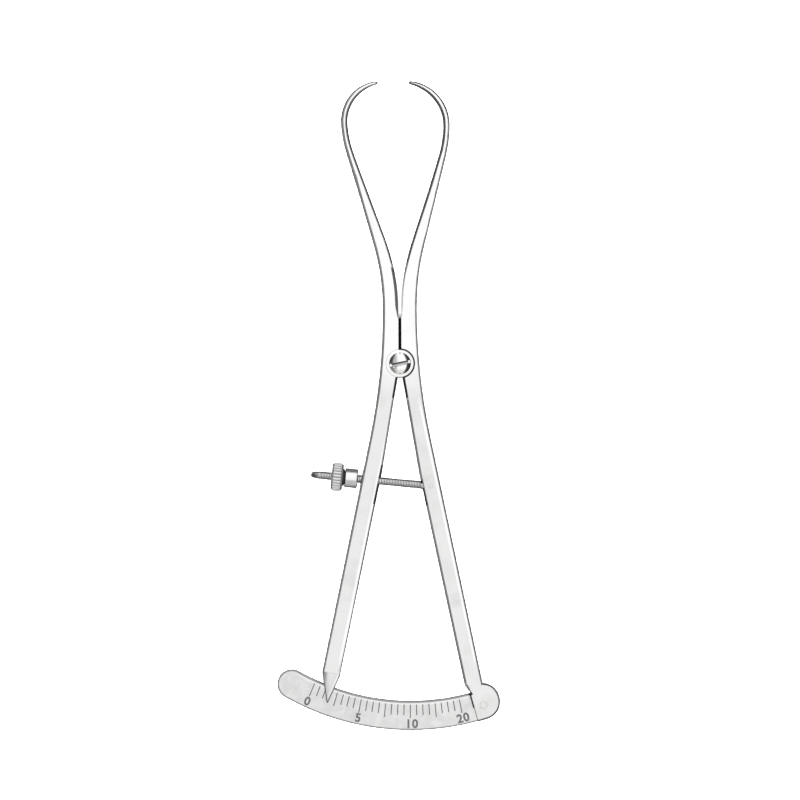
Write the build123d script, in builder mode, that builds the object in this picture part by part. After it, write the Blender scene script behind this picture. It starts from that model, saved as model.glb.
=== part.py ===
from build123d import *
from math import cos, pi, radians, sin, tan
import os

os.makedirs("parts", exist_ok=True)

# The caliper lies flat: +Y runs from the pivot to the measuring tips, +X to the scale arm's side,
# +Z out of the front face. The origin is on the pivot axis, in the plane of the back faces.
# Lengths are in millimetres and angles in degrees.

quarter_turn = 90

# Arms
arm_thickness = 4.0
edge_round = 0.7
slit_edge = 0.08
slit_ease = 0.22
shank_width = 3.95
shank_gap = 0.76
handle_angle = 11.9
handle_width = 4.6
handle_offset = 1.2
outer_sweep_radius = 158.0
outer_corner_y = -2.6
grip_angle = 9.6

# Jaws, each a tapering bar bent along arcs, from the shank to the measuring tip
jaw_start = 13.8
flare_radius = 57.0
flare_angle = 17.0
leg_length = 22.9
bow_radius = 33.0
bow_turn = 13.8
bow_width = 1.72
bow_thickness = 1.9
hook_radius = 10.5
tip_rise = 10.4
tip_diameter = 0.9
tip_flat = 0.03
jaw_lean = 1.4
leg_stations = 14
station_ease = 1.5
hook_stations = 6
hook_taper = 3

# Half-lap joint and its screw
disc_radius = 3.6
recess_gap = 0.22
lap_play = 0.04
spot_depth = 0.15
disc_chamfer = 0.2
chamfer_angle = 45
shoulder_radius = 1.8
thread_radius = 1.5
head_radius = 2.75
head_edge = 0.65
head_height = 1.15
screwdriver_slot = 0.75
screwdriver_depth = 0.8
screwdriver_turn = 11.0
running_clearance = 0.04
seat_clearance = 0.02

# Pointer at the end of the left arm
pointer_overlap = 4.14
pointer_angle = -20.4
pointer_blunt = 0.3
pointer_outer_length = 7.8
pointer_inner_length = 6.7
pointer_relief_gap = 2.0
pointer_stock = 2.6
pointer_tip_height = 0.6
pointer_play = 0.3

# Scale plate, a band of two arcs about its own centre
band_centre = (2.6, -28.4)
band_inner_radius = 57.1
band_width = 7.4
band_start = -29.9
plate_thickness = 1.4
plate_front = 1.8
plate_round = 0.25
tick_first = -25.05
tick_step = 1.545
tick_count = 25
long_tick_every = 4
tick_fan = 0.9
tick_margin = 0.9
tick_long = 3.5
tick_short = 2.7
tick_width = 0.22
tick_depth = 0.12

# Foot pad at the end of the right arm, which carries the plate
pad_radius = 4.6
pad_angle = 17.3
seam_angle = 15.2
seat_end_angle = 19.6
seat_end_play = 0.05
relief_angle = 7.6
foot_kink_rise = 2.1
foot_notch_rise = 4.2
rivet_angle = 17.4
rivet_radius = 0.9

# Adjusting screw, swinging about a cross pin in the right arm
anchor_y = -31.0
rod_tilt = 5.7
rod_radius = 1.0
rod_end = 28.6
pilot_radius = 0.9
pilot_length = 0.9
point_radius = 0.55
point_length = 1.0
eye_radius = 1.4
eye_thickness = 2.0
cross_pin_radius = 0.5
slot_height = 2.3
slot_corner = 0.35
left_slot_y = -30.2
left_slot_length = 10.1
right_slot_above = 2.1
right_slot_below = 4.7
slot_floor = 0.15
left_mouth_depth = 0.55
right_mouth_depth = 0.4

# Knurled nut and the thrust collar on its neck
collar_face = 18.7
collar_length = 3.2
collar_radius = 2.42
collar_gap = 0.12
boss_length = 0.4
boss_radius = 2.1
wheel_length = 2.9
wheel_radius = 3.68
wheel_chamfer = 0.6
neck_radius = 1.65
lip_radius = 1.95
lip_length = 0.35
lip_depth = 0.3
flute_count = 28
flute_depth = 0.26
bore_chamfer = 0.2

mid = arm_thickness / 2
half_width = handle_width / 2
slope = tan(radians(handle_angle))
across = half_width / cos(radians(handle_angle))
jaw_offset = (shank_gap + shank_width) / 2
shank_outer = shank_gap / 2 + shank_width
band_outer_radius = band_inner_radius + band_width
band_middle_radius = band_inner_radius + band_width / 2
recess_radius = disc_radius + recess_gap
pad_centre_radius = band_outer_radius - pad_radius
spot_face = arm_thickness - spot_depth
head_seat = spot_face + seat_clearance
boss_face = collar_face + collar_length + collar_gap
wheel_face = boss_face + boss_length
wheel_end = wheel_face + wheel_length
pointer_side = -1
scale_side = 1


def handle_point(side, offset, y):
    """A point beside the handle's centre line, offset outwards, at height y below the pivot."""
    return (side * (handle_offset + offset - y * slope), y)


def band_point(radius, angle):
    """A point of the band, with the angle from straight down, positive to the right."""
    turn = radians(angle)
    return (band_centre[0] + radius * sin(turn), band_centre[1] - radius * cos(turn))


def band_sector(start, end, inner, outer):
    """A stretch of the band in plan, between two angles and two radii."""
    with BuildSketch() as sector:
        with BuildLine():
            near = CenterArc(band_centre, inner, start - quarter_turn, end - start)
            far = CenterArc(band_centre, outer, start - quarter_turn, end - start)
            Line(near @ 0, far @ 0)
            Line(near @ 1, far @ 1)
        make_face()
    return sector.sketch


def handle_plane(side, y):
    """The plane along a handle and square to its width, with local x down the handle, y forward."""
    turn = radians(handle_angle)
    return Plane(
        origin=(*handle_point(side, 0, y), mid),
        x_dir=(side * sin(turn), -cos(turn), 0),
        z_dir=(-cos(turn), -side * sin(turn), 0),
    )


# The upright jaw's centre line on the right-hand side: flare, leg, bow and hook
with BuildLine() as jaw_line:
    flare = JernArc((jaw_offset, jaw_start), (0, 1), flare_radius, -flare_angle)
    leg = Line(flare @ 1, flare @ 1 + (flare % 1) * leg_length)
    bow = JernArc(leg @ 1, leg % 1, bow_radius, bow_turn)
    hook = JernArc(bow @ 1, bow % 1, hook_radius, flare_angle - bow_turn + quarter_turn - tip_rise)

jaw_path = jaw_line.wire()
hook_share = hook.length / jaw_path.length
jaw_rise = (hook @ 1).Y - jaw_start


def jaw_station(side, share):
    """The plane square to a jaw's centre line at a share of its length, and its section there."""
    point = jaw_path @ share
    along = jaw_path % share
    height = (point.Y - jaw_start) / jaw_rise
    lean_slope = 2 * jaw_lean * height / jaw_rise
    direction = Vector(side * along.X - lean_slope * along.Y, along.Y, 0).normalized()
    plane = Plane(
        origin=(side * point.X - jaw_lean * height**2, point.Y, mid),
        x_dir=(side * direction.Y, -side * direction.X, 0),
        z_dir=direction,
    )
    if share < 1 - hook_share:
        ease = (1 + cos(pi * share / (1 - hook_share))) / 2
        width = bow_width + (shank_width - bow_width) * ease
        thickness = bow_thickness + (arm_thickness - bow_thickness) * ease
        corner = edge_round
        opening = (1 - cos(pi * min(share / slit_ease, 1))) / 2
        inner_corner = slit_edge + (edge_round - slit_edge) * opening
    else:
        ease = ((share - 1 + hook_share) / hook_share) ** hook_taper
        width = bow_width + (tip_diameter - bow_width) * ease
        thickness = bow_thickness + (tip_diameter - bow_thickness) * ease
        corner = edge_round + ((tip_diameter - tip_flat) / 2 - edge_round) * ease
        inner_corner = corner
    return plane, width, thickness, corner, inner_corner


leg_shares = [(1 - hook_share) * (i / leg_stations) ** station_ease for i in range(leg_stations)]
hook_shares = [1 - hook_share + hook_share * i / hook_stations for i in range(hook_stations + 1)]


def add_jaw(side):
    """Lofts one jaw from the shank to the measuring tip, and rounds the tip off."""
    sections = []
    for share in leg_shares + hook_shares:
        plane, width, thickness, corner, inner_corner = jaw_station(side, share)
        with BuildSketch(plane) as section:
            Rectangle(width, thickness)
            fillet(section.vertices().group_by(Axis.X)[-1], corner)
            fillet(section.vertices().group_by(Axis.X)[0], inner_corner)
        sections.append(section.sketch.face())
    loft(sections)
    with Locations(jaw_station(side, 1)[0].origin):
        Sphere(tip_diameter / 2)


def bar_outline(side, foot):
    """One arm's shank and handle in plan, closed through the foot's corners, inner one first."""
    inner_meet = (across - handle_offset) / (slope - tan(radians(grip_angle)))
    corner = Vector(side * shank_outer, outer_corner_y)
    outer_edge = Vector(*foot[-1]) - corner
    sweep_turn = radians(outer_edge.get_angle(Vector(0, -1)))
    # The sweep's arc is as long as its radius asks, up to the start of the jaw
    reach = min(outer_sweep_radius * tan(sweep_turn / 2), jaw_start - outer_corner_y)
    sweep_start = corner + Vector(0, reach)
    sweep_end = corner + outer_edge.normalized() * reach
    with BuildSketch() as outline:
        with BuildLine():
            sweep = TangentArc(sweep_start, sweep_end, tangent=(0, -1))
            Polyline(
                sweep_start,
                (side * shank_outer, jaw_start),
                (side * shank_gap / 2, jaw_start),
                (side * shank_gap / 2, disc_radius / 2),
                (0, 0),
                handle_point(side, -across, -inner_meet),
                *foot,
                sweep @ 1,
            )
        make_face()
    return outline.sketch


def in_slit(rim):
    """True for a rim along the narrow slit between the shanks, which stays sharp."""
    return abs(rim.center().X) < shank_gap and rim.center().Y > 0


def lap_joint(outward, seam, disc_face, recess_face):
    """Cuts one arm's round recess and adds its disc, on the seam and with a chamfered outer rim."""
    with BuildSketch(Plane.XY.offset(seam)) as recess:
        Circle(recess_radius)
    extrude(recess.sketch, amount=recess_face - seam, mode=Mode.SUBTRACT)
    rim_height = disc_face - outward * disc_chamfer
    with BuildSketch(Plane.XY.offset(seam)) as disc:
        Circle(disc_radius)
    extrude(disc.sketch, amount=rim_height - seam)
    with BuildSketch(Plane.XY.offset(rim_height)) as rim:
        Circle(disc_radius)
    extrude(rim.sketch, amount=outward * disc_chamfer, taper=chamfer_angle)


def slot_mouth(plane, middle, length, reach):
    """Opens a slot's inner mouth to the front face, from the given plane inwards."""
    with BuildSketch(plane) as mouth:
        with Locations((middle, mid / 2 - slot_height / 4)):
            RectangleRounded(length, mid + slot_height / 2, slot_corner)
        with Locations((middle, mid)):
            Rectangle(length, slot_height, align=(Align.CENTER, Align.MAX))
    extrude(mouth.sketch, amount=reach, mode=Mode.SUBTRACT)


# Pointer arm: the left arm, with the front disc of the joint and the pointer
pointer_tip = band_point(band_inner_radius + pointer_overlap, pointer_angle)
pointer_stock_y = pointer_tip[1] - pointer_stock
left_inner_end = handle_point(pointer_side, -across, pointer_stock_y)
left_outer_end = handle_point(pointer_side, across, pointer_stock_y)
shoulder_outer = handle_point(pointer_side, across, pointer_tip[1] + pointer_outer_length)
shoulder_inner = handle_point(pointer_side, -across, pointer_tip[1] + pointer_inner_length)
pointer_underside = plate_front + pointer_play
pointer_relief_radius = Vector(*band_point(band_inner_radius, band_start)).length - pointer_relief_gap

with BuildPart() as pointer_arm:
    extrude(bar_outline(pointer_side, (left_inner_end, left_outer_end)), amount=arm_thickness)
    rims = pointer_arm.faces().filter_by(Axis.Z).edges()
    rims = rims.filter_by(lambda rim: pointer_stock_y < rim.center().Y < jaw_start and not in_slit(rim))
    fillet(rims, edge_round)
    add_jaw(pointer_side)
    with BuildSketch(Plane.XY.offset(spot_face)):
        Circle(disc_radius)
    extrude(amount=spot_depth, mode=Mode.SUBTRACT)
    lap_joint(1, mid + lap_play / 2, spot_face, 0)
    with Locations((0, 0, arm_thickness)):
        Hole(shoulder_radius + running_clearance)
    # The handle's end is ground to a point, thinned towards its tip and cut away over the plate
    with BuildSketch():
        with BuildLine():
            Polyline(
                (left_outer_end[0], shoulder_outer[1]),
                shoulder_outer,
                (pointer_tip[0] - pointer_blunt / 2, pointer_tip[1]),
                (pointer_tip[0] + pointer_blunt / 2, pointer_tip[1]),
                shoulder_inner,
                (0, shoulder_inner[1]),
                (0, 2 * pointer_stock_y),
                (left_outer_end[0], 2 * pointer_stock_y),
                close=True,
            )
        make_face()
    extrude(amount=arm_thickness, mode=Mode.SUBTRACT)
    tip_reach = pointer_outer_length / cos(radians(handle_angle))
    with BuildSketch(handle_plane(pointer_side, shoulder_outer[1])):
        with BuildLine():
            Polyline(
                (0, mid),
                (tip_reach, pointer_underside + pointer_tip_height - mid),
                (tip_reach, mid),
                close=True,
            )
        make_face()
    extrude(amount=handle_width, both=True, mode=Mode.SUBTRACT)
    with BuildSketch():
        Circle(2 * pointer_relief_radius)
        Circle(pointer_relief_radius, mode=Mode.SUBTRACT)
    extrude(amount=pointer_underside, mode=Mode.SUBTRACT)
    slot_plane = handle_plane(pointer_side, left_slot_y)
    with BuildSketch(slot_plane):
        RectangleRounded(left_slot_length, slot_height, slot_corner)
    extrude(amount=handle_width, both=True, mode=Mode.SUBTRACT)
    slot_mouth(slot_plane.offset(left_mouth_depth - half_width), 0, left_slot_length, -handle_width)
pointer_arm.part.label = "pointer_arm"

# Scale arm: the right arm, with the rear disc of the joint and the foot pad over the plate
pad_centre = band_point(pad_centre_radius, pad_angle)
seam_corner = band_point(band_inner_radius, seam_angle)
foot = (
    handle_point(scale_side, -across, seam_corner[1] + foot_kink_rise),
    seam_corner,
    pad_centre,
    handle_point(scale_side, across, pad_centre[1] + foot_notch_rise),
)
anchor = (*handle_point(scale_side, 0, anchor_y), mid)
right_slot_length = right_slot_above + right_slot_below
right_slot_depth = eye_radius + slot_floor


def beside_seam(rim):
    """True for a rim that lies along the straight seam between the pad and the plate."""
    reach = rim.center() - Vector(*band_centre)
    on_line = abs(reach.X - tan(radians(seam_angle)) * -reach.Y) < edge_round
    return on_line and reach.length > band_inner_radius


with BuildPart() as scale_arm:
    with BuildSketch():
        with Locations(pad_centre):
            Circle(pad_radius)
        add(
            band_sector(relief_angle, seam_angle, band_inner_radius - pad_radius, band_outer_radius),
            mode=Mode.SUBTRACT,
        )
        add(bar_outline(scale_side, foot))
        add(band_sector(seam_angle, pad_angle, band_inner_radius, band_outer_radius))
        add(
            band_sector(relief_angle, seam_angle, band_inner_radius, band_outer_radius),
            mode=Mode.SUBTRACT,
        )
    extrude(amount=arm_thickness)
    rims = scale_arm.faces().filter_by(Axis.Z).edges()
    rims = rims.filter_by(lambda rim: rim.center().Y < jaw_start)
    fillet(rims.filter_by(lambda rim: not in_slit(rim) and not beside_seam(rim)), edge_round)
    add_jaw(scale_side)
    lap_joint(-1, mid - lap_play / 2, 0, arm_thickness)
    with Locations((0, 0, mid)):
        Hole(thread_radius + seat_clearance)
    # The plate is let in from behind, and the adjusting screw's eye from the inner face
    seat = band_sector(
        relief_angle,
        seat_end_angle,
        band_inner_radius - seat_clearance,
        band_outer_radius + pad_radius,
    )
    extrude(seat, amount=plate_front + seat_clearance, mode=Mode.SUBTRACT)
    with Locations((*band_point(band_middle_radius, rivet_angle), arm_thickness)):
        Hole(rivet_radius + seat_clearance)
    slot_plane = handle_plane(scale_side, anchor_y)
    right_slot_middle = (right_slot_below - right_slot_above) / 2
    with BuildSketch(slot_plane.offset(-right_slot_depth)):
        with Locations((right_slot_middle, 0)):
            RectangleRounded(right_slot_length, slot_height, slot_corner)
    extrude(amount=right_slot_depth + handle_width, mode=Mode.SUBTRACT)
    mouth_plane = slot_plane.offset(half_width - right_mouth_depth)
    slot_mouth(mouth_plane, right_slot_middle, right_slot_length, handle_width)
    with Locations((anchor[0], anchor[1], arm_thickness)):
        Hole(cross_pin_radius + seat_clearance)
scale_arm.part.label = "scale_arm"

# Scale plate, with its graduations cut into the front face
plate_end_angle = seat_end_angle - seat_end_play
with BuildPart() as scale_plate:
    with BuildSketch(Plane.XY.offset(plate_front - plate_thickness)):
        with Locations(pad_centre):
            Circle(pad_radius)
        add(
            band_sector(seam_angle, plate_end_angle, band_inner_radius, band_outer_radius),
            mode=Mode.INTERSECT,
        )
        add(band_sector(band_start, pad_angle, band_inner_radius, band_outer_radius))
        with Locations(band_point(band_middle_radius, band_start)):
            Circle(band_width / 2)
    extrude(amount=plate_thickness)
    face = scale_plate.faces().sort_by(Axis.Z)[-1]
    fillet(face.edges().filter_by(lambda rim: rim.center().X < pad_centre[0] - pad_radius), plate_round)
    with BuildSketch(Plane.XY.offset(plate_front)):
        for i in range(tick_count):
            angle = tick_first + i * tick_step
            length = tick_short if i % long_tick_every else tick_long
            with Locations(band_point(band_inner_radius + tick_margin, angle)):
                turn = angle * tick_fan
                Rectangle(tick_width, length, rotation=turn, align=(Align.CENTER, Align.MAX))
    extrude(amount=-tick_depth, mode=Mode.SUBTRACT)
    with Locations((*band_point(band_middle_radius, rivet_angle), plate_front)):
        Hole(rivet_radius + seat_clearance)
scale_plate.part.label = "scale_plate"

# Rivet that holds the plate in the pad, flush in front and behind
plate_back = plate_front - plate_thickness
with BuildPart() as scale_rivet:
    with BuildSketch(Plane.XY.offset(plate_back)):
        with Locations(band_point(band_middle_radius, rivet_angle)):
            Circle(rivet_radius)
    extrude(amount=arm_thickness - plate_back)
scale_rivet.part.label = "scale_rivet"

# Pivot screw: slotted dome head on the front disc, shoulder through it, thread in the rear disc
with BuildPart() as pivot_screw:
    with BuildSketch(Plane.XZ):
        with BuildLine():
            dome = TangentArc(
                (0, head_seat + head_height),
                (head_radius, head_seat + head_edge),
                tangent=(1, 0),
            )
            Polyline(
                dome @ 1,
                (head_radius, head_seat),
                (shoulder_radius, head_seat),
                (shoulder_radius, mid),
                (thread_radius, mid),
                (thread_radius, 0),
                (0, 0),
                dome @ 0,
            )
        make_face()
    revolve(axis=Axis.Z)
    with BuildSketch(Plane.XY.offset(head_seat + head_height)):
        Rectangle(2 * (head_radius + screwdriver_slot), screwdriver_slot, rotation=screwdriver_turn)
    extrude(amount=-screwdriver_depth, mode=Mode.SUBTRACT)
pivot_screw.part.label = "pivot_screw"

# Cross pin that the adjusting screw swings about, flush with both faces of the arm
with BuildPart() as cross_pin:
    with BuildSketch():
        with Locations(anchor[:2]):
            Circle(cross_pin_radius)
    extrude(amount=arm_thickness)
cross_pin.part.label = "cross_pin"

# The adjusting screw and what runs on it are turned about one line, out from the cross pin
rod_direction = Vector(-cos(radians(rod_tilt)), sin(radians(rod_tilt)), 0)
rod_axis = Axis(anchor, rod_direction)
rod_plane = Plane(origin=anchor, x_dir=rod_direction, z_dir=(0, 0, 1))


def turned(*corners):
    """Turns a profile of (distance from the cross pin, radius) corners about the rod's axis."""
    with BuildSketch(rod_plane) as profile:
        with BuildLine():
            Polyline(*corners, close=True)
        make_face()
    revolve(profile.sketch, axis=rod_axis)


with BuildPart() as adjusting_screw:
    turned(
        (eye_radius / 2, 0),
        (eye_radius / 2, rod_radius),
        (rod_end, rod_radius),
        (rod_end + rod_radius - pilot_radius, pilot_radius),
        (rod_end + pilot_length, pilot_radius),
        (rod_end + pilot_length + point_length, point_radius),
        (rod_end + pilot_length + point_length, 0),
    )
    with Locations(anchor):
        Cylinder(eye_radius, eye_thickness)
    with Locations((anchor[0], anchor[1], mid + eye_thickness / 2)):
        Hole(cross_pin_radius + running_clearance)
adjusting_screw.part.label = "adjusting_screw"

# Knurled nut, with a neck whose spun lip keeps the collar on
lip_start = collar_face + lip_depth
lip_end = lip_start + lip_length
nut_bore = rod_radius + running_clearance
with BuildPart() as knurled_nut:
    turned(
        (lip_start, nut_bore),
        (lip_start, lip_radius),
        (lip_end, lip_radius),
        (lip_end, neck_radius),
        (boss_face, neck_radius),
        (boss_face, boss_radius),
        (wheel_face, boss_radius),
        (wheel_face, wheel_radius - wheel_chamfer),
        (wheel_face + wheel_chamfer, wheel_radius),
        (wheel_end - wheel_chamfer, wheel_radius),
        (wheel_end, wheel_radius - wheel_chamfer),
        (wheel_end, nut_bore),
    )
    with BuildSketch(Plane(rod_axis.position + rod_direction * wheel_face, z_dir=rod_direction)):
        with PolarLocations(wheel_radius, flute_count):
            RegularPolygon(flute_depth, 4)
    extrude(amount=wheel_length, mode=Mode.SUBTRACT)
knurled_nut.part.label = "knurled_nut"

# Thrust collar, which bears on the pointer arm without turning
collar_bore = neck_radius + running_clearance
with BuildPart() as thrust_collar:
    turned(
        (collar_face, lip_radius + running_clearance),
        (collar_face, collar_radius - bore_chamfer),
        (collar_face + bore_chamfer, collar_radius),
        (collar_face + collar_length - bore_chamfer, collar_radius),
        (collar_face + collar_length, collar_radius - bore_chamfer),
        (collar_face + collar_length, collar_bore),
        (lip_end + seat_clearance, collar_bore),
        (lip_end + seat_clearance, lip_radius + running_clearance),
    )
thrust_collar.part.label = "thrust_collar"

for piece in (
    pointer_arm,
    scale_arm,
    scale_plate,
    scale_rivet,
    pivot_screw,
    cross_pin,
    adjusting_screw,
    knurled_nut,
    thrust_collar,
):
    export_step(piece.part, f"parts/{piece.part.label}.step")
    print(piece.part.label, round(piece.part.volume, 2), piece.part.is_valid)
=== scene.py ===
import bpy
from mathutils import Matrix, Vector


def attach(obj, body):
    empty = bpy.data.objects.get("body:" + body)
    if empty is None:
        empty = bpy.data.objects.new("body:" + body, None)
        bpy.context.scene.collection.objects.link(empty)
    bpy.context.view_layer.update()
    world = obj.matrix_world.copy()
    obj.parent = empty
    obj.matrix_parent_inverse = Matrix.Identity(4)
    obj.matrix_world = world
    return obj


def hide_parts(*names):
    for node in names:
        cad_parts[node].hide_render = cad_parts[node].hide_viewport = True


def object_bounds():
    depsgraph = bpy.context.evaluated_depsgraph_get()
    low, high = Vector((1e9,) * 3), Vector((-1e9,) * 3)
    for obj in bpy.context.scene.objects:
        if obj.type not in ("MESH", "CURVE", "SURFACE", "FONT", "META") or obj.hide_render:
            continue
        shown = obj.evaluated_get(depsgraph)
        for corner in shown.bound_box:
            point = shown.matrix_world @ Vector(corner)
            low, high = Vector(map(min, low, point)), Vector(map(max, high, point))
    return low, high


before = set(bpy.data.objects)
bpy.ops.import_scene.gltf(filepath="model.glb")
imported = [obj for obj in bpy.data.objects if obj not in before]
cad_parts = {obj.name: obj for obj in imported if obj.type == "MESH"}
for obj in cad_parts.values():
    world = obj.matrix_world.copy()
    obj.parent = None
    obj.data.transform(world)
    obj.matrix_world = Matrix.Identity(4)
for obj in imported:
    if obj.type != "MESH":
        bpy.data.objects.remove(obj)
cadBox = [list(corner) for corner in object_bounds()]

import bmesh
import bpy
from math import cos, pi, radians, sin, tan
from mathutils import Matrix, Vector

mm = 0.001
print("frame loaded:", len(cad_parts), "nodes")


class Wire:  # a shader socket that takes part in sums
    def __init__(self, nodes, socket):
        self.nodes, self.socket = nodes, socket

    def __add__(self, other): return self.nodes.sums("ADD", self, other)
    def __radd__(self, other): return self.nodes.sums("ADD", other, self)
    def __sub__(self, other): return self.nodes.sums("SUBTRACT", self, other)
    def __rsub__(self, other): return self.nodes.sums("SUBTRACT", other, self)
    def __mul__(self, other): return self.nodes.sums("MULTIPLY", self, other)
    def __rmul__(self, other): return self.nodes.sums("MULTIPLY", other, self)
    def __truediv__(self, other): return self.nodes.sums("DIVIDE", self, other)
    def __pow__(self, other): return self.nodes.sums("POWER", self, other)
    def __gt__(self, other): return self.nodes.sums("GREATER_THAN", self, other)
    def __lt__(self, other): return self.nodes.sums("LESS_THAN", self, other)


class Nodes:  # the node tree of a material or of the sky
    def __init__(self, tree):
        self.tree = tree

    def add(self, kind, settings=None, values=None, output=0):
        node = self.tree.nodes.new(kind)
        for key, value in (settings or {}).items():
            setattr(node, key, value)
        for key, value in (values or {}).items():
            if isinstance(value, Wire):
                self.tree.links.new(value.socket, node.inputs[key])
            else:
                node.inputs[key].default_value = value
        return Wire(self, node.outputs[output])

    def sums(self, operation, *terms):
        return self.add("ShaderNodeMath", {"operation": operation}, dict(enumerate(terms)))

    def spot(self, turn=0, scale=(1, 1, 1)):  # a point of the piece in metres, turned about z
        place = self.add("ShaderNodeTexCoord", output="Object")
        return self.add("ShaderNodeMapping", {}, {
            "Vector": place, "Rotation": (0, 0, radians(turn)), "Scale": scale})

    def axes(self, place=None):  # x, y and z of a vector, or of the point itself
        vector = place or self.spot()
        return [self.add("ShaderNodeSeparateXYZ", {}, {"Vector": vector}, output=i) for i in range(3)]

    def noise(self, place, scale, detail=3, rough=0.55, twist=0):
        return self.add("ShaderNodeTexNoise", {}, {
            "Vector": place, "Scale": scale, "Detail": detail, "Roughness": rough, "Distortion": twist})

    def spread(self, value, low, high, toLow=0, toHigh=1):  # eases from one value to another
        return self.add("ShaderNodeMapRange", {"clamp": True}, {
            "Value": value, "From Min": low, "From Max": high, "To Min": toLow, "To Max": toHigh})

    def past(self, value, edge, soft):  # 0 before an edge, 1 past it
        return self.spread(value, edge - soft, edge + soft)

    def within(self, value, low, high, soft):  # 1 between two values, easing to 0 beside them
        return self.spread(value, low - soft, low) * self.spread(value, high + soft, high)

    def blend(self, share, first, second):
        return self.add("ShaderNodeMix", {"data_type": "RGBA"}, {0: share, 6: first, 7: second}, output=2)


class Finish(Nodes):  # a material, with the values that are the same all over
    def __init__(self, name, **fixed):
        self.material = bpy.data.materials.new(name)
        self.material.use_nodes = True
        super().__init__(self.material.node_tree)
        self.shader = self.tree.nodes["Principled BSDF"]
        for socket, value in fixed.items():
            self.shader.inputs[socket.replace("_", " ")].default_value = value

    def feed(self, socket, value):
        self.tree.links.new(value.socket, self.shader.inputs[socket])

    def relief(self, height, strength, distance):
        self.feed("Normal", self.add("ShaderNodeBump", {}, {
            "Height": height, "Strength": strength, "Distance": distance}))


def gray(shade, cool=0):  # a tone of steel, with a little less blue
    return (shade, shade, shade - cool, 1)


def unsigned(value):  # a wire without its sign
    return (value * value) ** 0.5


def apart(x, y, place):  # distance from a place, seen from the front
    return ((x - place[0]) ** 2 + (y - place[1]) ** 2) ** 0.5


# The arms' steel has shade painted in where they lie in their own deep shadow. The left arm's side is -1.
arms = {
    "left": {"side": -1, "slot": (25.9 * mm, 35.8 * mm), "mouth": 0.62 * mm,
             "flareWidth": 0.80, "flareShade": 0.97,
             "hook": {"centre": (-4.585 * mm, 61.487 * mm), "radius": 10.135 * mm, "tip": 6.03 * mm}},
    "right": {"side": 1, "slot": (29.6 * mm, 36.3 * mm), "mouth": 0.44 * mm,
              "flareWidth": 0.44, "flareShade": 0.75,
              "hook": {"centre": (1.614 * mm, 60.383 * mm), "radius": 11.16 * mm, "tip": 3.23 * mm}},
}
# The arms' colours: a lighter tone that also serves for painted highlights, plain and dull tones, the
# painted deep shade and the painted dark line.
armLook = {"bright": gray(0.96, 0.005), "tone": gray(0.79, 0.005), "dull": gray(0.71, 0.005),
           "paintedShade": gray(0.012), "line": gray(0.10), "rough": 0.16, "smudge": 0.10, "lines": 0.04,
           "brightTop": 4 * mm, "brightFoot": -9 * mm, "frontHalf": 1.9 * mm}
joint = {"disc": (3.55 * mm, 3.92 * mm), "discEdge": 0.03 * mm, "front": 3.95 * mm, "sunk": 3.91 * mm,
         "slit": 0.5 * mm, "slitTop": 13.2 * mm, "slitEnd": 14.7 * mm, "gripAngle": 9.6, "grip": 0.60 * mm,
         "gripShade": (-8.6 * mm, -3.6 * mm), "gripEdge": 0.6 * mm}


def jointPaintedShade(steel, arm):  # painted shade round the disc, in the slit above it and in the V below
    x, y, z = steel.axes()
    sunk = steel.spread(z, joint["front"], joint["sunk"])
    reach = (x * x + y * y) ** 0.5
    outside = reach > joint["disc"][0]
    ring = steel.within(reach, *joint["disc"], joint["discEdge"]) * sunk
    slit = (x * x < joint["slit"] ** 2) * steel.spread(y, joint["slitEnd"], joint["slitTop"]) * (y > 0)
    across = x * arm["side"]
    grip = (across + y * tan(radians(joint["gripAngle"])) < joint["grip"]) * steel.within(
        y, *joint["gripShade"], joint["gripEdge"]) * (across > 0)
    return (ring + grip * outside) * (z > armLook["frontHalf"]) + sunk * slit * outside


handle = {"lean": 11.9, "offset": 1.2 * mm, "half": 2.3 * mm, "slotEdge": 0.1 * mm,
          "rightRim": (1.10 * mm, 1.45 * mm), "leftRim": (1.72 * mm, 1.92 * mm), "line": 1.94 * mm,
          "lineEdge": 0.06 * mm, "lineShade": 0.3, "foot": (-77 * mm, -74 * mm), "top": (-8 * mm, -12 * mm)}


def alongHandle(steel, arm):  # the way down a handle, and outwards from its middle line
    x, y, z = steel.axes()
    lean = radians(handle["lean"])
    across = x * arm["side"] - handle["offset"]
    return across * sin(lean) - y * cos(lean), across * cos(lean) + y * sin(lean)


def slotPaintedShade(steel, arm):  # painted shade in a strip along the mouth of the screw's slot
    down, aside = alongHandle(steel, arm)
    return (aside + handle["half"] < arm["mouth"]) * steel.within(down, *arm["slot"], handle["slotEdge"])


def paintedHandleRims(steel, arm, ground):  # a painted highlight along the rims and a thin painted dark line along the handle
    y = steel.axes()[1]
    rightwards = alongHandle(steel, arm)[1] * arm["side"]
    within = steel.spread(y, *handle["foot"]) * steel.spread(y, *handle["top"])
    rim = steel.spread(rightwards, *handle["rightRim"]) + steel.spread(-1 * rightwards, *handle["leftRim"])
    line = steel.past(rightwards, handle["line"], handle["lineEdge"])
    ground = steel.blend(rim * within, ground, armLook["bright"])
    return steel.blend(line * within * handle["lineShade"], ground, armLook["line"])


flare = {"centre": (-59.355 * mm, 13.8 * mm), "edge": 58.975, "narrowing": 0.0011,
         "run": (12.0 * mm, 24 * mm), "runEdge": 1.5 * mm, "start": (10.6 * mm, 14.5 * mm),
         "startWidth": 0.02, "soft": 0.06}


def flarePaintedShade(steel, arm):  # painted shade in a band inside the V of the jaws, its widths in millimetres
    x, y, z = steel.axes()
    rise = (y - flare["centre"][1]) / mm
    away = apart(x * arm["side"] * -1, y, flare["centre"]) / mm
    width = steel.spread(y, *flare["start"], flare["startWidth"], arm["flareWidth"])
    band = steel.past(away - (flare["edge"] - flare["narrowing"] * rise * rise) + width, 0, flare["soft"])
    run = steel.within(y, *flare["run"], flare["runEdge"])
    return band * run * arm["flareShade"] * (z > armLook["frontHalf"])


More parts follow.
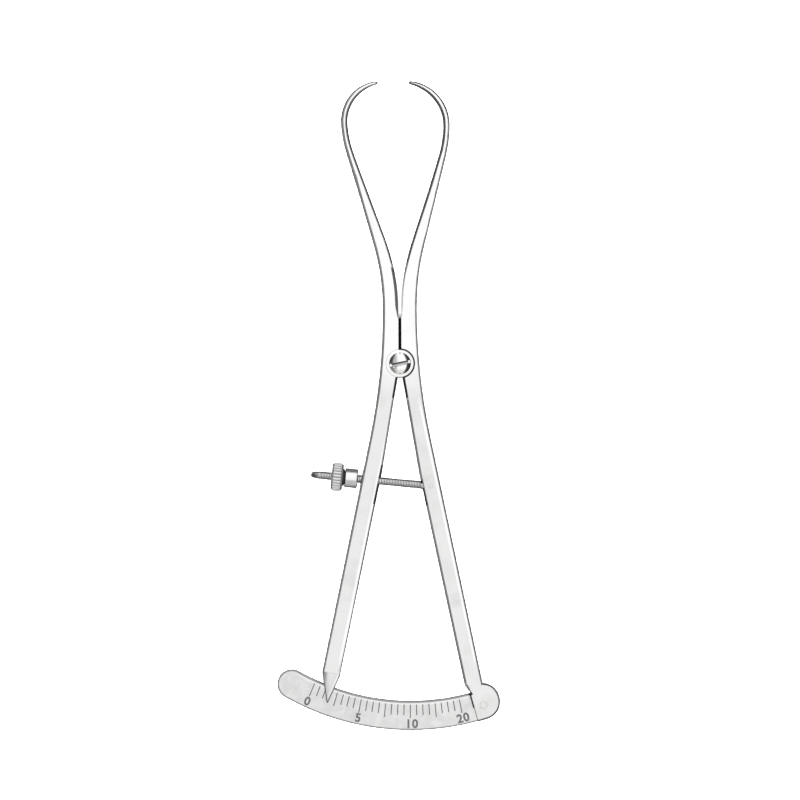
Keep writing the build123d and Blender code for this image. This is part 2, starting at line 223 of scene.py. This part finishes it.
foot = {"corner": (17.50 * mm, -83.60 * mm), "shadow": (0.66 * mm, 0.34 * mm),
        "kink": (16.51 * mm, -81.43 * mm), "fall": 26.5, "edge": (0.44 * mm, 0.32 * mm),
        "run": (-83.6 * mm, -81.2 * mm), "runEdge": 0.3 * mm, "from": 10 * mm, "shade": 0.8}


def footCornerPaintedShadow(steel):  # painted shadow in the nook where handle, pad and plate meet
    x, y, z = steel.axes()
    return steel.spread(apart(x, y, foot["corner"]), *foot["shadow"])


def footPaintedShade(steel):  # painted shade on the short slope from the right handle to its pad, and in the nook
    x, y, z = steel.axes()
    fall = radians(foot["fall"])
    inside = (x - foot["kink"][0]) * cos(fall) + (y - foot["kink"][1]) * sin(fall)
    run = steel.within(y, *foot["run"], foot["runEdge"]) * (x > foot["from"])
    bend = steel.spread(inside, *foot["edge"]) * run * foot["shade"]
    return (bend + footCornerPaintedShadow(steel)) * (z > armLook["frontHalf"])


edges = {"upper": (0.46, 0.60), "lower": (0.16, 0.30), "inner": (0.10, 0.20), "jaw": (18 * mm, 27 * mm),
         "jawGain": 0.2, "shade": 0.66}


def edgeShade(steel):  # painted shade on rounded edges where they face the ends
    x, y, z = steel.axes()
    facing = steel.axes(steel.add("ShaderNodeTexCoord", output="Normal"))
    jaw = steel.spread(y, *edges["jaw"])
    upper = steel.spread(facing[1] + jaw * edges["jawGain"], *edges["upper"])
    lower = steel.spread(-1 * facing[1], *edges["lower"])
    inward = steel.spread(facing[0] * steel.sums("SIGN", x) * -1, *edges["inner"])
    return steel.sums("MINIMUM", upper + lower + inward * jaw, 1.0) * edges["shade"]


hook = {"back": (0.37 * mm, 0.27 * mm), "start": (60.5 * mm, 64.5 * mm), "backShade": 0.92,
        "end": 0.12 * mm, "endStart": (66 * mm, 67 * mm), "endShade": 0.72}


def hookPaintedLines(steel, arm):  # a painted dark outline along a hook's back and tip
    x, y, z = steel.axes()
    bow = arm["hook"]
    reach = apart(x, y, bow["centre"])
    outer, inner = hook["back"]
    back = steel.spread(reach, bow["radius"] - outer, bow["radius"] - inner) * hook["backShade"]
    end = steel.spread(x * arm["side"], bow["tip"], bow["tip"] - hook["end"]) * hook["endShade"]
    backRun, endRun = steel.spread(y, *hook["start"]), steel.spread(y, *hook["endStart"])
    return steel.sums("MAXIMUM", back * backRun, end * endRun)


pointer = {"outer": ((-19.987 * mm, -77.999 * mm), (-18.896 * mm, -85.799 * mm)),
           "inner": ((-15.518 * mm, -79.099 * mm), (-18.596 * mm, -85.799 * mm)),
           "start": (-77.599 * mm, -77.999 * mm), "line": (0.36 * mm, 0.24 * mm),
           "gleam": (0.95 * mm, 0.60 * mm), "shade": 0.85}


def pointerPaintedLines(steel, ground):  # painted dark sides of the pointer, one with a painted highlight beside it
    x, y, z = steel.axes()

    def inside(ends, sign):  # distance inwards from a side of the pointer
        first, last = Vector(ends[0]), Vector(ends[1])
        along = (last - first).normalized()
        return ((x - first.x) * along.y - (y - first.y) * along.x) * sign

    start = steel.spread(y, *pointer["start"])
    left, right = inside(pointer["outer"], -1), inside(pointer["inner"], 1)
    ground = steel.blend(steel.spread(right, *pointer["gleam"]) * start, ground, armLook["bright"])
    nearest = steel.sums("MINIMUM", left, right)
    lines = steel.spread(nearest, *pointer["line"]) * start
    return steel.blend(lines * pointer["shade"], ground, armLook["line"])


polish = {"run": (1, 0.03, 1), "lines": {"scale": 9000, "detail": 2},
          "clouds": {"scale": 95, "detail": 4, "rough": 0.6, "twist": 0.4}, "patch": (0.45, 0.70),
          "patchShare": 0.6, "specks": {"scale": 2600, "detail": 1}, "speckEdge": (0.72, 0.78),
          "speckShare": 0.25, "relief": (0.10, 2e-6), "shadeMetalLoss": 0.6}


def polishedSteel(name, arm, ownLines=None):  # hand-polished: fine lines along the bar, cloudy smudges, with painted highlights, outlines and shade
    steel = Finish(name, Metallic=1.0)
    along = steel.spot(turn=arm["side"] * handle["lean"], scale=polish["run"])
    lines = steel.noise(along, **polish["lines"])
    patch = steel.spread(steel.noise(steel.spot(), **polish["clouds"]), *polish["patch"])
    specks = steel.spread(steel.noise(steel.spot(), **polish["specks"]), *polish["speckEdge"])
    dull = patch * polish["patchShare"] + specks * polish["speckShare"]
    upper = steel.spread(steel.axes()[1], armLook["brightFoot"], armLook["brightTop"])
    ground = steel.blend(upper, steel.blend(dull, armLook["tone"], armLook["dull"]), armLook["bright"])
    ground = paintedHandleRims(steel, arm, ground)
    # painted dark outlines on the rounded edges and along the hooks
    outlines = steel.sums("MAXIMUM", edgeShade(steel), hookPaintedLines(steel, arm))
    ground = steel.blend(outlines, ground, armLook["line"])
    if ownLines:
        ground = ownLines(steel, ground)
    # painted shade in the joint, the slot's mouth, the V of the jaws and the foot, where the steel is also
    # made less metallic
    dark = jointPaintedShade(steel, arm) + slotPaintedShade(steel, arm) + flarePaintedShade(steel, arm) + footPaintedShade(steel)
    paintedShade = steel.sums("MINIMUM", dark, 1.0)
    steel.feed("Base Color", steel.blend(paintedShade, ground, armLook["paintedShade"]))
    steel.feed("Roughness", armLook["rough"] + patch * armLook["smudge"] + (lines - 0.5) * armLook["lines"])
    steel.feed("Metallic", 1 - paintedShade * polish["shadeMetalLoss"])
    steel.relief(lines, *polish["relief"])
    return steel.material


# The plate's colours: its tones, the etched marks, the painted shade and the painted highlight.
plateLook = {"tone": gray(0.82, 0.005), "dull": gray(0.77, 0.005), "mark": gray(0.04), "shade": gray(0.03),
             "bright": gray(0.92), "rough": 0.26, "smudge": 0.08, "lines": 0.05, "markRough": 0.25,
             "markLoss": 0.7, "clouds": {"scale": 420, "detail": 5, "rough": 0.65, "twist": 0.6},
             "patch": (0.36, 0.70), "run": (0.05, 1, 1), "grain": {"scale": 9000, "detail": 2},
             "relief": (0.12, 4e-6)}
plate = {"centre": (2.6 * mm, -28.4 * mm), "inner": 57.1 * mm, "width": 7.4 * mm, "front": 1.8 * mm,
         "marks": (0.7 * mm, 4.7 * mm), "markDepth": (0.04 * mm, 0.3 * mm), "marksFrom": -24.6 * mm,
         "cap": (-27.700 * mm, -81.107 * mm), "capEdge": (0.50 * mm, 0.38 * mm), "capSoft": 0.1 * mm,
         "rim": 0.50 * mm, "rimSoft": 0.06 * mm, "outerRim": (0.44 * mm, 0.32 * mm), "innerShade": 0.55,
         "outerShade": 0.60, "capShade": 0.55, "gleam": (0.62 * mm, 0.95 * mm), "gleamSoft": 0.1 * mm}
seam = {"angle": 15.2, "pad": 0.2 * mm, "recess": (-0.55 * mm, -0.30 * mm),
        "recessTop": (4.1 * mm, 3.7 * mm), "groove": (-0.17 * mm, 0.2 * mm), "grooveSoft": 0.05 * mm,
        "grooveShade": 0.75, "gleamEnd": -0.8 * mm}


def paintedPlateRims(steel, reach, beside):  # painted dark rims round the plate, and a painted highlight along the inner one
    x, y, z = steel.axes()
    inner = steel.spread(reach, plate["rim"] + plate["rimSoft"], plate["rim"] - plate["rimSoft"])
    outer = steel.spread(reach, *[plate["width"] - inset for inset in plate["outerRim"]])
    turn = Vector((plate["cap"][1] - plate["centre"][1], plate["centre"][0] - plate["cap"][0])).normalized()
    past = steel.past((x - plate["cap"][0]) * turn.x + (y - plate["cap"][1]) * turn.y, 0, plate["capSoft"])
    capReach = apart(x, y, plate["cap"]) - plate["width"] / 2
    cap = steel.spread(capReach, *[-inset for inset in plate["capEdge"]]) * past * plate["capShade"]
    rims = (inner * plate["innerShade"] + outer * plate["outerShade"]) * (1 - past) + cap
    gleam = steel.within(reach, *plate["gleam"], plate["gleamSoft"]) * (beside < seam["gleamEnd"])
    return rims, gleam * (1 - past)


def scaleSteel():  # satin, lightly mottled, with blackened graduations, painted shade and a painted highlight
    steel = Finish("scaleSteel", Metallic=1.0)
    clouds = steel.noise(steel.spot(), **plateLook["clouds"])
    patch = steel.spread(clouds, *plateLook["patch"])
    grain = steel.noise(steel.spot(scale=plateLook["run"]), **plateLook["grain"])
    x, y, z = steel.axes()
    reach = apart(x, y, plate["centre"]) - plate["inner"]
    shallow, deep = plate["markDepth"]
    cut = (z < plate["front"] - shallow) * (z > plate["front"] - deep)
    mark = cut * (reach > plate["marks"][0]) * (reach < plate["marks"][1]) * (x > plate["marksFrom"])
    angle = radians(seam["angle"])  # the seam with the pad, and the distance from it, for painted shade along it
    beside = (x - plate["centre"][0]) * cos(angle) + (y - plate["centre"][1]) * sin(angle)
    # painted shade in the gap beside the pad's upper half, and a painted dark line along the seam
    recess = steel.spread(beside, *seam["recess"]) * steel.spread(reach, *seam["recessTop"]) * (
        beside < seam["pad"])
    groove = steel.within(beside, *seam["groove"], seam["grooveSoft"]) * seam["grooveShade"]
    rims, gleam = paintedPlateRims(steel, reach, beside)
    shade = steel.sums("MINIMUM", recess + groove + rims + footCornerPaintedShadow(steel), 1.0)
    ground = steel.blend(patch, plateLook["tone"], plateLook["dull"])
    ground = steel.blend(gleam, ground, plateLook["bright"])
    ground = steel.blend(shade, ground, plateLook["shade"])
    steel.feed("Base Color", steel.blend(mark, ground, plateLook["mark"]))
    rough = plateLook["rough"] + patch * plateLook["smudge"] + (grain - 0.5) * plateLook["lines"]
    steel.feed("Roughness", rough + mark * plateLook["markRough"])
    steel.feed("Metallic", 1 - mark * plateLook["markLoss"])
    steel.relief(clouds, *plateLook["relief"])
    return steel.material


# Turned steel has rings left by the tool, and most turned pieces have painted shade of their own.
turned = {"rings": 9000.0, "ringsGain": 0.06, "haze": 700, "hazeEdge": (0.45, 0.7), "hazeShare": 0.5,
          "hazeTone": 0.88, "hazeGain": 0.07, "groove": gray(0.03), "relief": (0.2, 2e-6)}
head = {"tone": gray(0.80, 0.005), "rough": 0.14, "metal": 0.88, "slotFloor": (4.50 * mm, 4.30 * mm),
        "slotReach": 2.6 * mm, "slotLean": 12, "floorEdge": 0.10 * mm, "floorShade": (0.55, 1.0),
        "right": (1.50 * mm, 1.85 * mm), "left": (1.65 * mm, 2.0 * mm), "leftFade": (-0.6 * mm, 0),
        "leftShade": (0.55, 0.9), "top": 3.9 * mm, "ends": (2.05 * mm, 2.25 * mm),
        "lip": (-0.62 * mm, -0.50 * mm), "lipSoft": 0.05 * mm, "lipReach": 1.5 * mm, "lipShade": 0.6,
        "nick": (0.22 * mm, 0.10 * mm), "nickReach": (2.30 * mm, 2.42 * mm), "nickShade": 0.7}
collar = {"tone": gray(0.93, 0.005), "rough": 0.22, "metal": 1.0}
flutes = {"tone": gray(0.46, 0.003), "rough": 0.45, "metal": 0.6, "from": 3.0 * mm,
          "depth": (3.66 * mm, 3.44 * mm), "run": (22.7 * mm, 25.1 * mm), "soft": 0.3 * mm, "shade": 0.75,
          "gap": (22.60 * mm, 22.45 * mm)}
thread = {"tone": gray(0.86, 0.005), "rough": 0.28, "metal": 1.0, "pitch": 0.4 * mm, "crest": 1.0 * mm,
          "root": 0.86 * mm, "start": 2.4 * mm, "end": 28.6 * mm, "steps": 24, "lead": 1.5, "spare": 3,
          "merge": 0.004 * mm,
          "profile": [(0, "root"), (0.08, "root"), (0.28, "crest"), (0.80, "crest"), (1.0, "root")],
          "sides": (0.52 * mm, 0.80 * mm), "sideShade": 0.92, "roots": (0.98 * mm, 0.88 * mm),
          "rootShade": 0.7}

# The rod's cross pin is in the middle of the right handle, and its axis points out to the left.
rod = {"tilt": 5.7, "pinDown": 31 * mm, "middle": 2 * mm}
rodAxis = Vector((-cos(radians(rod["tilt"])), sin(radians(rod["tilt"])), 0))
pinAside = handle["offset"] + rod["pinDown"] * tan(radians(handle["lean"]))
anchor = Vector((pinAside, -rod["pinDown"], rod["middle"]))


def headShade(steel, radius, along):  # painted shade on the slot's floor and along its lower lip, painted dark crescents at the dome's sides, two dark nicks
    x, y, z = steel.axes()
    lean = radians(head["slotLean"])
    across, run = y * cos(lean) - x * sin(lean), unsigned(x * cos(lean) + y * sin(lean))
    inSlot = steel.spread(along, *head["slotFloor"]) * (radius < head["slotReach"])
    floor = inSlot * steel.spread(across, -head["floorEdge"], head["floorEdge"], *head["floorShade"])
    reach = (radius + unsigned(x)) / 2
    fade = steel.spread(y, *head["leftFade"], *head["leftShade"])
    right = steel.spread(reach, *head["right"]) * (x > 0)
    left = steel.spread(reach, *head["left"]) * (x < 0) * fade
    lip = steel.within(across, *head["lip"], head["lipSoft"]) * (run < head["lipReach"]) * head["lipShade"]
    nicks = steel.spread(unsigned(x), *head["nick"]) * steel.spread(unsigned(y), *head["nickReach"])
    onTop = ((right + left) * (1 - inSlot) + nicks * head["nickShade"]) * (along > head["top"])
    dark = floor + lip * (1 - inSlot) + onTop
    return steel.sums("MINIMUM", dark, 1.0) * (1 - steel.spread(run, *head["ends"]) * inSlot)


def fluteShade(steel, radius, along):  # painted shade in the flutes, and a painted shadow in the gap before the collar
    dark = steel.spread(radius, *flutes["depth"]) * steel.within(along, *flutes["run"], flutes["soft"])
    gap = steel.spread(along, *flutes["gap"])
    return steel.sums("MINIMUM", (radius > flutes["from"]) * dark * flutes["shade"] + gap, 1.0)


def threadShade(steel, radius, along):  # painted shade in the roots and along the rod's sides
    z = steel.axes()[2] - anchor.z
    aside = steel.sums("MAXIMUM", radius * radius - z * z, 0.0) ** 0.5
    sides = steel.spread(aside, *thread["sides"]) * thread["sideShade"]
    return steel.sums("MAXIMUM", sides, steel.spread(radius, *thread["roots"]) * thread["rootShade"])


def turnedSteel(name, look, axis, origin, shaded=None):
    steel = Finish(name, Metallic=look["metal"])
    x, y, z = steel.axes()
    along = (x - origin[0]) * axis[0] + (y - origin[1]) * axis[1] + (z - origin[2]) * axis[2]
    rings = steel.add("ShaderNodeTexNoise", {"noise_dimensions": "1D"},
                      {"W": along, "Scale": turned["rings"], "Detail": 2.0})
    haze = steel.spread(steel.noise(steel.spot(), turned["haze"]), *turned["hazeEdge"])
    dull = [channel * turned["hazeTone"] for channel in look["tone"][:3]]
    ground = steel.blend(haze * turned["hazeShare"], look["tone"], (*dull, 1))
    if shaded:
        reach = (x - origin[0]) ** 2 + (y - origin[1]) ** 2 + (z - origin[2]) ** 2
        radius = (reach - along * along) ** 0.5
        # each piece's own painted shade, in a near-black tone
        ground = steel.blend(shaded(steel, radius, along), ground, turned["groove"])
    steel.feed("Base Color", ground)
    steel.feed("Roughness", look["rough"] + haze * turned["hazeGain"] + (rings - 0.5) * turned["ringsGain"])
    steel.relief(rings, *turned["relief"])
    return steel.material


finishes = {
    "leftArm": polishedSteel("polishedSteelLeft", arms["left"], pointerPaintedLines),
    "rightArm": polishedSteel("polishedSteelRight", arms["right"]),
    "plate": scaleSteel(),
    "screw": turnedSteel("turnedScrewSteel", head, Vector((0, 0, 1)), Vector(), headShade),
    "collar": turnedSteel("collarSteel", collar, rodAxis, anchor),
    "rod": turnedSteel("turnedRodSteel", thread, rodAxis, anchor, threadShade),
    "knurl": turnedSteel("knurledSteel", flutes, rodAxis, anchor, fluteShade),
}
print("finishes made:", len(finishes))

shaping = {"sharp": 35, "bevelFrom": 40, "edge": 0.05 * mm, "fineEdge": 0.03 * mm, "wheelEdge": 0.07 * mm,
           "merge": 1e-6, "flat": 0.05}


def addPiece(bm, name, material, body, replaced=()):
    bmesh.ops.recalc_face_normals(bm, faces=bm.faces)
    for edge in bm.edges:
        edge.smooth = edge.calc_face_angle(0) < radians(shaping["sharp"])
    for face in bm.faces:
        face.smooth = True
    mesh = bpy.data.meshes.new(name)
    bm.to_mesh(mesh)
    bm.free()
    mesh.materials.append(material)
    piece = bpy.data.objects.new(name, mesh)
    bpy.context.scene.collection.objects.link(piece)
    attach(piece, body)
    if replaced:
        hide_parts(*replaced)
    return piece


def finishedCopy(node, name, material, body, edge=shaping["edge"]):
    bm = bmesh.new()
    bm.from_mesh(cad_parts[node].data)
    bmesh.ops.remove_doubles(bm, verts=bm.verts, dist=shaping["merge"])
    bmesh.ops.dissolve_limit(bm, angle_limit=radians(shaping["flat"]), verts=bm.verts, edges=bm.edges)
    piece = addPiece(bm, name, material, body, [node])
    bevel = piece.modifiers.new("edge", "BEVEL")  # a small bevel that catches the light, and flat flats
    bevel.width, bevel.segments = edge, 2
    bevel.limit_method, bevel.angle_limit = "ANGLE", radians(shaping["bevelFrom"])
    piece.modifiers.new("flats", "WEIGHTED_NORMAL").keep_sharp = True


fine, broad = shaping["fineEdge"], shaping["wheelEdge"]
finishedCopy("pointer_arm", "polished_pointer_arm", finishes["leftArm"], "pointer_side")
finishedCopy("scale_arm", "polished_scale_arm", finishes["rightArm"], "scale_side")
finishedCopy("scale_plate", "graduated_plate", finishes["plate"], "scale_side", fine)
finishedCopy("scale_rivet", "plate_rivet", finishes["rightArm"], "scale_side", fine)
finishedCopy("pivot_screw", "slotted_pivot_screw", finishes["screw"], "scale_side")
finishedCopy("cross_pin", "swing_pin", finishes["rightArm"], "scale_side", fine)
finishedCopy("knurled_nut", "knurled_wheel", finishes["knurl"], "nut", broad)
finishedCopy("thrust_collar", "bright_collar", finishes["collar"], "collar")


def rodPlace():  # a frame with local x out along the rod, from the cross pin
    side = Vector((0, 0, 1)).cross(rodAxis)
    turn = Matrix((rodAxis, side, Vector((0, 0, 1)))).transposed().to_4x4()
    return Matrix.Translation(anchor) @ turn


def trimmed(bm, place, direction):  # cuts one end square and closes it
    whole = bm.verts[:] + bm.edges[:] + bm.faces[:]
    cut = bmesh.ops.bisect_plane(bm, geom=whole, plane_co=place, plane_no=direction, clear_outer=True)
    rim = [e for e in cut["geom_cut"] if isinstance(e, bmesh.types.BMEdge)]
    bmesh.ops.holes_fill(bm, edges=rim)


def threadMesh():  # one turn's outline, spun along the rod and trimmed
    bm = bmesh.new()
    pitch = thread["pitch"]
    turns = int((thread["end"] - thread["start"]) / pitch) + thread["spare"]
    first = thread["start"] - thread["lead"] * pitch
    verts = [bm.verts.new((first + share * pitch, 0, thread[key])) for share, key in thread["profile"]]
    line = [bm.edges.new(pair) for pair in zip(verts, verts[1:])]
    step = (pitch / thread["steps"], 0, 0)
    bmesh.ops.spin(bm, geom=verts + line, cent=(0, 0, 0), axis=(1, 0, 0), dvec=step,
                   angle=2 * pi * turns, steps=turns * thread["steps"], use_merge=False)
    bmesh.ops.remove_doubles(bm, verts=bm.verts, dist=thread["merge"])
    bmesh.ops.recalc_face_normals(bm, faces=bm.faces)
    trimmed(bm, (thread["start"], 0, 0), (-1, 0, 0))
    trimmed(bm, (thread["end"], 0, 0), (1, 0, 0))
    bmesh.ops.transform(bm, matrix=rodPlace(), verts=bm.verts)
    mesh = bpy.data.meshes.new("thread")
    bm.to_mesh(mesh)
    bm.free()
    return mesh


def plainEnd(place, direction):  # the CAD rod on one side of a place: its eye, or its pilot
    bm = bmesh.new()
    bm.from_mesh(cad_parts["adjusting_screw"].data)
    bmesh.ops.remove_doubles(bm, verts=bm.verts, dist=shaping["merge"])
    trimmed(bm, anchor + rodAxis * place, direction)
    mesh = bpy.data.meshes.new("end")
    bm.to_mesh(mesh)
    bm.free()
    return mesh


overlap = 0.1 * mm  # how far the plain ends reach into the thread
bm = bmesh.new()
bm.from_mesh(plainEnd(thread["start"] + overlap, rodAxis))
bm.from_mesh(plainEnd(thread["end"] - overlap, -rodAxis))
bm.from_mesh(threadMesh())
addPiece(bm, "threaded_rod", finishes["rod"], "screw", ["adjusting_screw"])
print("thread made:", int((thread["end"] - thread["start"]) / thread["pitch"]), "turns")

# Every eighth graduation has an etched numeral, placed in millimetres and leaning in degrees.
numerals = {"size": 3.0 * mm, "bold": 0.105 * mm, "apart": 1.12, "thick": 0.012 * mm, "merge": 1e-7,
            "tone": gray(0.05), "pale": gray(0.09), "metal": 0.3, "rough": 0.55,
            "grain": 3000, "mottle": (0.35, 0.7),
            "signs": [("0", -23.85, -85.50, 20), ("5", -11.01, -89.75, 8),
                      ("10", 2.61, -91.35, 0), ("20", 15.64, -89.92, -14)]}
ink = Finish("etchedMark", Metallic=numerals["metal"], Roughness=numerals["rough"])
mottle = ink.spread(ink.noise(ink.spot(), numerals["grain"]), *numerals["mottle"])
ink.feed("Base Color", ink.blend(mottle, numerals["tone"], numerals["pale"]))
for sign, x, y, lean in numerals["signs"]:
    text = bpy.data.curves.new("numeral_" + sign, "FONT")
    text.body, text.size, text.align_x, text.align_y = sign, numerals["size"], "CENTER", "CENTER"
    text.extrude, text.offset = numerals["thick"], numerals["bold"]
    text.space_character = numerals["apart"]
    holder = bpy.data.objects.new("holder", text)
    bpy.context.scene.collection.objects.link(holder)
    bpy.context.view_layer.update()
    flat = bpy.data.meshes.new_from_object(holder.evaluated_get(bpy.context.evaluated_depsgraph_get()))
    bpy.data.objects.remove(holder)
    bm = bmesh.new()
    bm.from_mesh(flat)
    bmesh.ops.remove_doubles(bm, verts=bm.verts, dist=numerals["merge"])
    place = Matrix.Translation((x * mm, y * mm, plate["front"])) @ Matrix.Rotation(radians(-lean), 4, "Z")
    bmesh.ops.transform(bm, matrix=place, verts=bm.verts)
    addPiece(bm, "numeral_" + sign, ink.material, "scale_side")
print("numerals made:", len(numerals["signs"]))

# The caliper lies on pale paper. The camera looks straight down, rolled a little, as in the photo.
view = {"pixel": 0.2531 * mm, "pixels": 800, "pivotRow": 363.5, "roll": -0.23, "height": 900 * mm,
        "level": 2.4 * mm, "sensor": 36, "clip": (0.01, 20)}
table = {"floor": gray(0.9), "glow": gray(0.9), "half": 2.8, "ring": 2.66, "ringHeight": 5.6,
         "ringSides": 64, "shade": gray(0.02), "noGlow": gray(0), "under": (-1.0 * mm, 1.0 * mm),
         "underEdge": 0.3 * mm, "run": (0.0, 11.4 * mm), "runEdge": 1.6 * mm, "lamp": 24.0, "lampSize": 0.5,
         "lampAt": (0.5, 0, 1.1)}


def stagePiece(bm, name, finish):  # seen by the camera, left out of the steel's reflections
    mesh = bpy.data.meshes.new(name)
    bm.to_mesh(mesh)
    bm.free()
    mesh.materials.append(finish.material)
    piece = bpy.data.objects.new(name, mesh)
    piece.visible_glossy = False
    bpy.context.scene.collection.objects.link(piece)
    return piece


paper = Finish("palePaper", Roughness=0.9, Emission_Strength=1.0)
x, y, z = paper.axes()
width = paper.within(x, *table["under"], table["underEdge"])
slit = width * paper.within(y, *table["run"], table["runEdge"])  # painted shadow under the slit above the joint, with the glow turned off there
paper.feed("Base Color", paper.blend(slit, table["floor"], table["shade"]))
paper.feed("Emission Color", paper.blend(slit, table["glow"], table["noGlow"]))
bm = bmesh.new()
bmesh.ops.create_grid(bm, x_segments=1, y_segments=1, size=table["half"])
bmesh.ops.translate(bm, verts=bm.verts, vec=(0, 0, cadBox[0][2]))
stagePiece(bm, "table", paper)

haze = Finish("paleHaze", Emission_Color=(1, 1, 1, 1), Emission_Strength=1.0, Base_Color=(0, 0, 0, 1))
bm = bmesh.new()
bmesh.ops.create_cone(bm, cap_ends=False, segments=table["ringSides"], radius1=table["ring"],
                      radius2=table["ring"], depth=table["ringHeight"])
backdrop = stagePiece(bm, "backdrop", haze)
backdrop.visible_diffuse = backdrop.visible_shadow = False

# The sky is a wide soft box overhead that runs along the caliper, between darker walls.
skyLook = {"strength": 1.0, "left": -0.16, "right": 0.52, "soft": 0.05, "bright": 1.08, "front": -0.39,
           "dim": 0.6, "lean": 0.32, "edge": 0.06, "side": 0.22, "low": 0.7, "lowUp": (-0.2, 0.1),
           "beyond": (0.45, 0.62), "over": (0.25, 0.40), "behind": 0.6}
world = bpy.data.worlds.new("studio")
world.use_nodes = True
sky = Nodes(world.node_tree)
aside, ahead, up = sky.axes(sky.add("ShaderNodeTexCoord", output="Generated"))
strip = sky.within(aside, skyLook["left"], skyLook["right"], skyLook["soft"])
raised = sky.past(up - ahead * skyLook["lean"], 0, skyLook["edge"])
front = sky.spread(ahead, skyLook["front"] - skyLook["edge"], skyLook["front"] + skyLook["edge"],
                   skyLook["dim"], skyLook["bright"])
beyond = sky.spread(ahead, *skyLook["beyond"]) * sky.spread(up, *skyLook["over"])
low = sky.spread(up, *skyLook["lowUp"], skyLook["low"], 1.0)
wall = low * (beyond * skyLook["behind"] + skyLook["side"])
dome = strip * raised * front + (1 - strip * raised) * wall
background = sky.tree.nodes["Background"]
sky.tree.links.new(dome.socket, background.inputs["Color"])
background.inputs["Strength"].default_value = skyLook["strength"]
bpy.context.scene.world = world
bpy.context.scene.view_settings.view_transform = "Standard"

for side in (-1, 1):  # a lamp on either side, for the paper only
    lamp = bpy.data.lights.new("paperLight", "AREA")
    lamp.shape, lamp.size, lamp.energy = "SQUARE", table["lampSize"], table["lamp"]
    box = bpy.data.objects.new("paperLight", lamp)
    box.location = (side * table["lampAt"][0], table["lampAt"][1], table["lampAt"][2])
    box.rotation_euler = box.location.to_track_quat("Z", "Y").to_euler()
    box.visible_glossy = box.visible_camera = False
    bpy.context.scene.collection.objects.link(box)

lens = bpy.data.cameras.new("camera")
lens.sensor_width = view["sensor"]
lens.lens = view["sensor"] * view["height"] / (view["pixels"] * view["pixel"])
lens.clip_start, lens.clip_end = view["clip"]
camera = bpy.data.objects.new("camera", lens)
roll = radians(view["roll"])
below = (view["pixels"] / 2 - view["pivotRow"]) * view["pixel"]
camera.location = (below * sin(roll), -below * cos(roll), view["height"] + view["level"])
camera.rotation_euler = (0, 0, roll)
bpy.context.scene.collection.objects.link(camera)
bpy.context.scene.camera = camera
print("studio ready")
